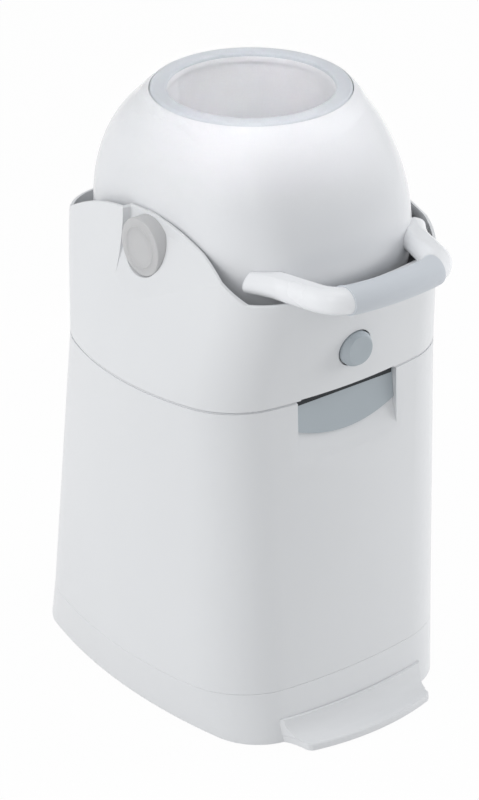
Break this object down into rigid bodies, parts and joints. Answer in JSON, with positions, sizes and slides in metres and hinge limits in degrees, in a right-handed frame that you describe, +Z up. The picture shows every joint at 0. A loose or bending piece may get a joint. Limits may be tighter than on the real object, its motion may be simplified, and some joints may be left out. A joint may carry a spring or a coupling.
{
  "type": "nappy bin",
  "caption": "Free-standing nappy bin with a round-mouthed drum that tips over on side hubs, a sliding piston, a rear-hinged head and a tapering bag pail.",
  "frame": {"origin": "on the floor, straight below the middle of the round mouth", "axes": "+Z up, front (button, grip and foot plate) towards -Y, +X to the right seen from behind the front, so the drum's pivot runs along X"},
  "size_m": [0.316, 0.4237, 0.6],
  "materials": {
    "white_body": "moulded, satin gloss",
    "white_drum": "moulded, gloss",
    "white_well": "moulded, gloss",
    "white_inner": "moulded, plain",
    "ring_silver": "silver grey, satin",
    "grip_grey": "soft-touch grey",
    "grey_button": "bluish grey, satin",
    "hub_grey": "warm grey, satin",
    "foot_rubber": "moulded rubber",
    "seal_rubber": "soft grey rubber",
    "felt_grey": "pressed felt",
    "bush_plastic": "natural acetal",
    "zinc_steel": "zinc plated",
    "spring_steel": "bright wire"
  },
  "bodies": {
    "pail": {"pail_shell": "white_body", "base_plinth": "white_body", "rubber_feet": "foot_rubber", "base_screws": "zinc_steel", "grip_insert": "grey_button", "latch_keeper": "white_inner", "bag_ring": "white_inner", "hinge_pin": "zinc_steel"},
    "head": {"head_housing": "white_body", "drum_cradle": "white_inner", "drum_seal": "seal_rubber", "cradle_screws": "zinc_steel", "axle_bush_left": "bush_plastic", "axle_bush_right": "bush_plastic", "hub_cap_left": "hub_grey", "hub_cap_right": "hub_grey", "button_guide": "white_inner", "button_spring": "spring_steel"},
    "button": {"release_button": "grey_button", "latch_slide": "white_inner", "latch_hook": "white_inner"},
    "drum": {"drum_shell_upper": "white_drum", "drum_shell_lower": "white_drum", "well_tube": "white_well", "mouth_ring_upper": "ring_silver", "mouth_ring_lower": "ring_silver", "drum_axle_left": "bush_plastic", "drum_axle_right": "bush_plastic", "thrust_washers": "bush_plastic", "handle_bow": "white_drum", "handle_grip": "grip_grey"},
    "piston": {"piston_body": "white_well", "piston_lid": "white_well", "piston_weight": "zinc_steel", "piston_wipers": "felt_grey"}
  },
  "joints": [
    {"name": "head_open", "type": "hinge", "parent": "pail", "child": "head", "pos_m": [0, 0.156, 0.35], "axis": [-1, 0, 0], "range_deg": [0, 80], "deforming": ["latch_hook"]},
    {"name": "drum_turn", "type": "hinge", "parent": "head", "child": "drum", "pos_m": [0, 0, 0.473], "axis": [-1, 0, 0], "range_deg": [0, 180]},
    {"name": "piston_fall", "type": "slide", "parent": "drum", "child": "piston", "axis": [0, 0, 1], "range_m": [0, 0.1736]},
    {"name": "button_press", "type": "slide", "parent": "head", "child": "button", "axis": [0, 1, 0], "range_m": [0, 0.0045], "stiffness_N_per_m": 600, "springref_m": -0.003, "deforming": ["button_spring"]}
  ]
}
